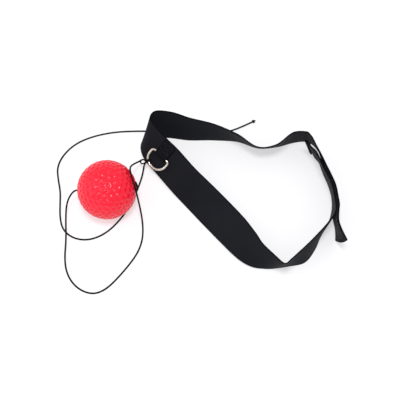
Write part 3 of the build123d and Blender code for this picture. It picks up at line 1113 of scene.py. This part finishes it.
def make_ball():
    """Foam ball: a geodesic pattern of shallow dimples, and a flared bore right through."""
    deselect()
    bpy.ops.mesh.primitive_ico_sphere_add(subdivisions=1, radius=1)
    ball = bpy.context.object
    subdivide(ball, cuts=5)
    centres = [vertex.co.normalized() for vertex in ball.data.vertices]
    subdivide(ball, cuts=9)
    tree = kdtree.KDTree(len(centres))
    for i, centre in enumerate(centres):
        tree.insert(centre, i)
    tree.balance()
    turned = (Matrix.Rotation(math.radians(dimples_turned), 4, "Z")
              @ Matrix.Rotation(math.radians(dimples_tipped), 4, "X"))
    for vertex in ball.data.vertices:
        way = vertex.co.normalized()
        _, _, apart = tree.find(way)
        share = min(1.0, apart * ball_radius / dimple_reach)
        sink = dimple_depth * (1 - share**2) ** dimple_roundness
        way = turned @ way
        from_bore = math.hypot(way.y, way.z) * ball_radius - bore_diameter / 2
        flare = bore_flare * eased(1 - from_bore / bore_flare_reach)
        vertex.co = way * (ball_radius - sink - flare) * MM
    ball.location = ball_middle * MM
    only(ball)
    bpy.ops.object.transform_apply(location=True, rotation=True, scale=True)
    deselect()
    bpy.ops.mesh.primitive_cylinder_add(
        vertices=24, radius=bore_diameter / 2 * MM, depth=ball_diameter * 1.2 * MM,
        location=ball_middle * MM, rotation=(0, math.pi / 2, 0))
    bore = bpy.context.object
    apply(ball, "BOOLEAN", object=bore, operation="DIFFERENCE", solver="EXACT")
    bpy.data.objects.remove(bore)
    smooth(ball, 50)
    finish_piece(ball, "foam_ball", foam, "ball", "ball_foam")
    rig.replaces(ball, "ball")


make_ball()


# ---- cord ------------------------------------------------------------------------
def smooth_line(points, resolution=10):
    """Points along the NURBS spline whose control points are given."""
    data = bpy.data.curves.new("line", "CURVE")
    data.dimensions = "3D"
    spline = data.splines.new("NURBS")
    spline.points.add(len(points) - 1)
    for spot, point in zip(spline.points, points):
        spot.co = (*(Vector(point) * MM), 1)
    spline.use_endpoint_u = True
    spline.order_u = 3
    spline.resolution_u = resolution
    holder = bpy.data.objects.new("line", data)
    bpy.context.collection.objects.link(holder)
    bpy.context.view_layer.update()
    mesh = bpy.data.meshes.new_from_object(holder)
    line = [vertex.co.copy() for vertex in mesh.vertices]
    bpy.data.objects.remove(holder)
    bpy.data.meshes.remove(mesh)
    return line


def line_length(line):
    """The length of a line of points."""
    return sum((there - here).length for here, there in zip(line, line[1:]))


def even_line(line, step):
    """The same line with points about one step apart."""
    total = line_length(line)
    count = max(2, round(total / step))
    spots, i, gone = [line[0]], 0, 0.0
    for k in range(1, count):
        wanted = total * k / count
        while gone + (line[i + 1] - line[i]).length < wanted:
            gone += (line[i + 1] - line[i]).length
            i += 1
        share = (wanted - gone) / (line[i + 1] - line[i]).length
        spots.append(line[i].lerp(line[i + 1], share))
    return spots + [line[-1]]


# rings that round off a cord's end: how far past it and how wide, in radii
END_RINGS = ((0.54, 0.35), (0.3, 0.8))


def tube(name, line, radius, sides=12):
    """Mesh tube round a line, its ends rounded, with metres along and turns around as UVs."""
    along = [0.0]
    for here, there in zip(line, line[1:]):
        along.append(along[-1] + (there - here).length)
    last = len(line) - 1
    ways = [(line[min(i + 1, last)] - line[max(i - 1, 0)]).normalized() for i in range(last + 1)]
    stations = [(line[0], ways[0], -past, size, 0.0) for past, size in END_RINGS]
    stations += [(spot, way, 0.0, 1.0, far) for spot, way, far in zip(line, ways, along)]
    stations += [(line[-1], ways[-1], past, size, along[-1]) for past, size in END_RINGS[::-1]]
    side = ways[0].orthogonal().normalized()
    verts, faces, uvs = [], [], []
    for spot, way, past, size, _ in stations:
        side = (side - way * side.dot(way)).normalized()
        other = way.cross(side)
        for k in range(sides):
            turn = 2 * math.pi * k / sides
            round_it = side * math.cos(turn) + other * math.sin(turn)
            verts.append(spot + way * past * radius + round_it * radius * size)
    count = len(stations)
    for i in range(count - 1):
        low, high = i * sides, (i + 1) * sides
        here, there = stations[i][4], stations[i + 1][4]
        for k in range(sides):
            after = (k + 1) % sides
            faces.append((low + k, low + after, high + after, high + k))
            near, far = k / sides, (k + 1) / sides
            uvs += [(here, near), (here, far), (there, far), (there, near)]
    faces.append(tuple(range(sides))[::-1])
    uvs += [(0, 0)] * sides
    faces.append(tuple(range((count - 1) * sides, count * sides)))
    uvs += [(along[-1], 0)] * sides
    mesh = bpy.data.meshes.new(name)
    mesh.from_pydata([tuple(v) for v in verts], [], faces)
    layer = mesh.uv_layers.new(name="UVMap")
    for loop, uv in zip(layer.data, uvs):
        loop.uv = uv
    mesh.polygons.foreach_set("use_smooth", [True] * len(mesh.polygons))
    piece = bpy.data.objects.new(name, mesh)
    bpy.context.collection.objects.link(piece)
    return piece


def make_cord(name, points, body, step=cord_step, radius=braid_radius):
    """A run of braided cord through its points, and the line that it follows."""
    line = even_line(smooth_line(points), step * MM)
    piece = tube(name, line, radius * MM)
    finish_piece(piece, name, braided_cord, body, "cord")
    return piece, line


# the hitch's place on the bow, in the ring's plane, with the ways outwards and along the wire
bow_outward = (math.cos(math.radians(hitch_angle)), math.sin(math.radians(hitch_angle)))
bow_along = (bow_outward[1], -bow_outward[0])
hitch = (ring_half - ring_bow_radius + bow_outward[0] * ring_bow_radius,
         ring_depth - ring_bow_radius + bow_outward[1] * ring_bow_radius)


def by_hitch(outward, along, up=0.0):
    """A point beside the hitch on the bow: outwards, along the wire, and off its plane."""
    return in_ring_plane(hitch[0] + bow_outward[0] * outward + bow_along[0] * along,
                         hitch[1] + bow_outward[1] * outward + bow_along[1] * along, up)


# where the runs of cord start and end: beside the eye, and in the mouth of the bore
eye_edge = eye_turn + cord_diameter / 2 + eye_gap
lead_end = by_hitch(eye_reach + eye_edge, lead_end_aside)
free_start = by_hitch(eye_reach, -eye_edge)
bore_exit = ball_middle - Vector((ball_radius, 0, 0))
lead_start = bore_exit + Vector((straight_in_bore, 0, 0))
first_bend = bore_exit - Vector((straight_out_of_bore, 0, 0))


def declare_cord(piece, line):
    """Tells the frame the cord's course, from where it leaves its holder to its knot."""
    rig.cord(piece, exit=line[0], length=round(line_length(line), 3), diameter=cord_diameter * MM,
            far_end="knot", stiffness="limp", lay="loose", path=line)


def make_ball_lead():
    """The run from the ball to the ring, which follows the ring at its far end."""
    points = [lead_start, first_bend] + BALL_LEAD + [lead_end]
    lead, line = make_cord("ball_cord_lead", points, None)
    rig.blend(lead, "headband", "ring", start=Vector(BALL_LEAD[-3]) * MM, end=lead_end * MM)
    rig.replaces(lead, "cord_ball_lead")
    declare_cord(lead, line)


def make_free_end():
    """The run from the ring under and round the ball, behind the strap, to its cut end."""
    points = [free_start] + FREE_END + [CORD_END]
    free, line = make_cord("cord_free_end_tube", points, None)
    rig.blend(free, "headband", "ring", start=(0, 0, 2.5 * MM),
             end=(0, 0, (free_start.z - 0.5) * MM))
    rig.replaces(free, "cord_free_end")
    declare_cord(free, line)


def make_cord_in_ball():
    """The run through the bore, from the stop knot to where the lead starts."""
    start = ball_middle + Vector((ball_radius - cord_diameter, 0, 0))
    piece, _ = make_cord("cord_in_ball", [start, ball_middle, lead_start], "headband")
    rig.replaces(piece, "cord_through_ball")


# how near a spline comes to control points that stand 45 degrees apart round a circle
spline_shrink = 0.925

# The eye, drawn twice: from the lead in to the wire, and from the wire out again and under
# itself. Each spot has its degrees round the eye, its height off the ring and its size.
EYE_IN = ((55, 0.3, 1.0), (90, 0.3, 1.0), (125, 0.3, 1.0))
EYE_OUT = (
    (-130, -0.3, 1.0), (-85, -0.3, 1.0), (-40, -0.4, 1.0), (5, -0.7, 1.0),
    (50, -1.1, 0.97), (100, -1.4, 0.97),
)


def make_ring_knot():
    """The hitch: an open loop of cord, two turns round the bow, and back out beside it."""
    wrap = (ring_wire / 2 + cord_diameter / 2 + surface_gap) / spline_shrink
    turn_step = cord_diameter * 1.12 / 9        # along the wire for each eighth of a turn

    def round_eye(degrees, up, size):
        a = math.radians(degrees)
        return by_hitch(eye_middle + math.cos(a) * eye_long * size / spline_shrink,
                        math.sin(a) * eye_wide * size / spline_shrink, up)

    def round_wire(eighths):
        a = math.radians(60 + 45 * eighths)
        return by_hitch(math.cos(a) * wrap, turns_aside - eighths * turn_step,
                        math.sin(a) * wrap)

    points = [lead_end, by_hitch(eye_middle + eye_long, eye_wide * 0.75, 0.1)]
    points += [round_eye(*spot) for spot in EYE_IN]
    points += [by_hitch(3.0, turns_aside, 0.8)]
    points += [round_wire(eighths) for eighths in range(17)]
    points += [by_hitch(3.1, -0.9, -0.3)]
    points += [round_eye(*spot) for spot in EYE_OUT]
    points += [by_hitch(3.9, 0.6, -1.5), by_hitch(3.6, -1.4, -1.2), by_hitch(4.4, -3.0, -0.6)]
    points += [free_start]
    piece, _ = make_cord("ring_hitch_knot", points, "ring", hitch_step, cord_diameter / 2)
    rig.replaces(piece, "ring_knot")


def overhand(middle, way, size):
    """Points of a tight overhand knot round a line that runs along way."""
    way = way.normalized()
    side = way.orthogonal().normalized()
    other = way.cross(side)
    steps = 24
    points = []
    for i in range(1, steps):
        t = 2 * math.pi * i / steps
        points.append(middle
                      + side * (math.sin(t) + 2 * math.sin(2 * t)) * size
                      + other * (math.cos(t) - 2 * math.cos(2 * t)) * size
                      - way * math.sin(3 * t) * size * 1.1)
    return points


def fine_tube(name, points):
    """A cord drawn in short steps, for tight bends."""
    return tube(name, even_line(smooth_line(points), knot_step * MM), cord_diameter / 2 * MM)


def make_stop_knot():
    """An overhand knot at the bore's mouth, and the doubled end that lies up over the ball."""
    spot = ball_middle + Vector((ball_radius - stop_knot_sink, 0, 0))
    knot = fine_tube("stop_knot_turns", overhand(spot, Vector((1, 0, 0)), knot_size))
    reach = ball_radius + knot_clearance + cord_diameter / 2
    slant = Matrix.Rotation(math.radians(stop_fold_slant), 3, "X")

    def over_ball(far, beside):
        a = far / reach
        return ball_middle + slant @ Vector((reach * math.cos(a), reach * math.sin(a), beside))

    spots = (0.4, 2.5, 5, 7.5, stop_fold_length)
    tip, tip_half = stop_fold_length + stop_fold_tip, stop_fold_half * 0.8
    fold = [over_ball(far, -stop_fold_half) for far in spots]
    fold += [over_ball(tip, -tip_half), over_ball(tip, tip_half)]
    fold += [over_ball(far, stop_fold_half) for far in spots[::-1]]
    piece = join([knot, fine_tube("stop_fold", fold)])
    finish_piece(piece, "ball_stop_knot_cord", braided_cord, "headband", "cord")
    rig.replaces(piece, "ball_stop_knot")


def make_end_knot():
    """An overhand knot just before the cord's cut end."""
    end = Vector(CORD_END)
    way = (end - Vector(FREE_END[-1])).normalized()
    piece = fine_tube("end_knot", overhand(end - way * end_knot_back, way, knot_size))
    finish_piece(piece, "cord_end_knot_turns", braided_cord, "headband", "cord")
    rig.replaces(piece, "cord_end_knot")


make_ball_lead()
make_free_end()
make_cord_in_ball()
make_ring_knot()
make_stop_knot()
make_end_knot()


# ---- studio ----------------------------------------------------------------------
def make_floor():
    """A wide pale table top that glows a little, so that it looks evenly white."""
    bpy.ops.mesh.primitive_plane_add(size=8)
    floor = bpy.context.object
    floor.name = "studio_floor"
    material, _, finish = new_material("Pale floor", Roughness=0.6, Specular_IOR_Level=0.2)
    finish["Base Color"].default_value = (0.50, 0.50, 0.505, 1)
    finish["Emission Color"].default_value = (0.99, 0.985, 1.0, 1)
    finish["Emission Strength"].default_value = 0.52
    floor.data.materials.append(material)
    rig.stage(floor)


def set_surroundings(scene):
    """Plain colours, and an even, slightly cool light from all round."""
    scene.view_settings.view_transform = "Standard"
    world = scene.world or bpy.data.worlds.new("Studio")
    scene.world = world
    world.use_nodes = True
    background = world.node_tree.nodes["Background"].inputs
    background["Color"].default_value = (0.97, 0.975, 1.0, 1)
    background["Strength"].default_value = 0.64


def soft_light(name, place, aim, size, power):
    """A square softbox at a place, turned to shine at its aim."""
    deselect()
    bpy.ops.object.light_add(type="AREA", location=place)
    light = bpy.context.object
    light.name = name
    light.data.size = size
    light.data.energy = power
    light.rotation_euler = (Vector(aim) - Vector(place)).to_track_quat("-Z", "Y").to_euler()


def make_camera(scene, aim, distance, rise, lens):
    """A camera in front of the headband, looking down at its aim from a rise in degrees."""
    bpy.ops.object.camera_add()
    camera = bpy.context.object
    camera.name = "studio_camera"
    scene.camera = camera
    rise = math.radians(rise)
    camera.location = Vector(aim) + Vector((0, -math.cos(rise), math.sin(rise))) * distance
    camera.rotation_euler = (math.pi / 2 - rise, 0, 0)
    camera.data.sensor_width = 36
    camera.data.lens = lens
    camera.data.clip_start = 0.01


make_floor()
set_surroundings(bpy.context.scene)
soft_light("overhead_softbox", place=(0.0, -0.25, 1.3), aim=(-0.02, 0, 0), size=0.24, power=8.5)
soft_light("left_softbox", place=(-1.0, -0.1, 0.85), aim=(-0.02, 0.02, 0), size=1.0, power=2.5)
make_camera(bpy.context.scene, aim=(-0.0017, -0.0105, 0), distance=0.9, rise=65, lens=72.779)

with open("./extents.json", "w") as sizes:
    json.dump({"cad": [list(corner) for corner in cad_box],
               "visual": [list(corner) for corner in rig.bounds()]}, sizes)
